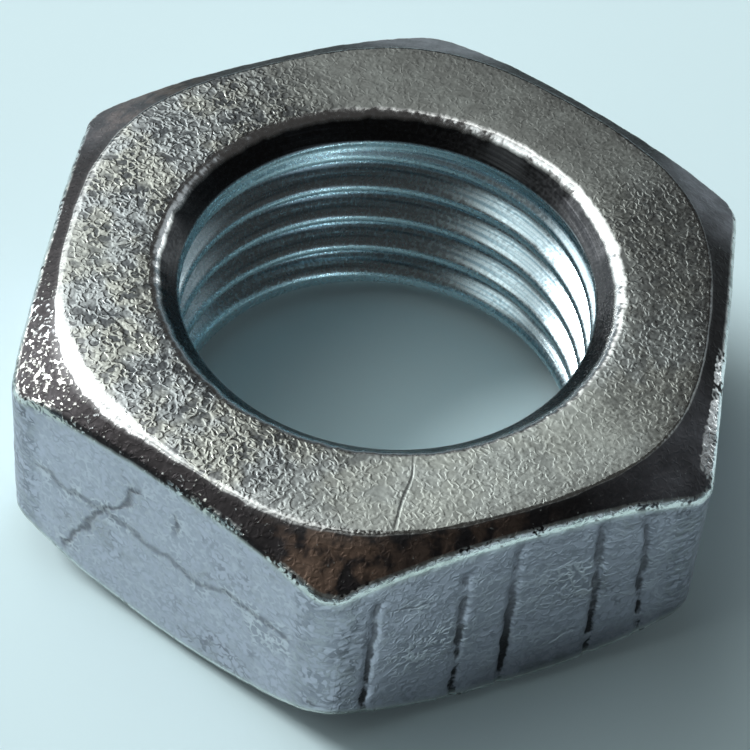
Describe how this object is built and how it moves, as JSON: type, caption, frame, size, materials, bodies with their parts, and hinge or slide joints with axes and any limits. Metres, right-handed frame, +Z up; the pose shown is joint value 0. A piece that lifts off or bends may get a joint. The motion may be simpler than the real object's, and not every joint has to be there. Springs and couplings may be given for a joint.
{
  "type": "axle nut",
  "caption": "Plain hexagon nut with a metric fine thread, chamfered on both faces, that clamps a bicycle wheel's solid axle.",
  "frame": {"origin": "centre of the lower ring face, on the bore's axis", "axes": "+Z up the bore, +X through two opposite corners of the hexagon, +Y through two opposite flats"},
  "size_m": [0.017, 0.015, 0.0057],
  "materials": {
    "zinc_plated_steel": "bright zinc plate on steel, with a fine crinkled grain, scuffed and dulled by use"
  },
  "bodies": {
    "root": {"axle_nut": "zinc_plated_steel"}
  },
  "joints": []
}
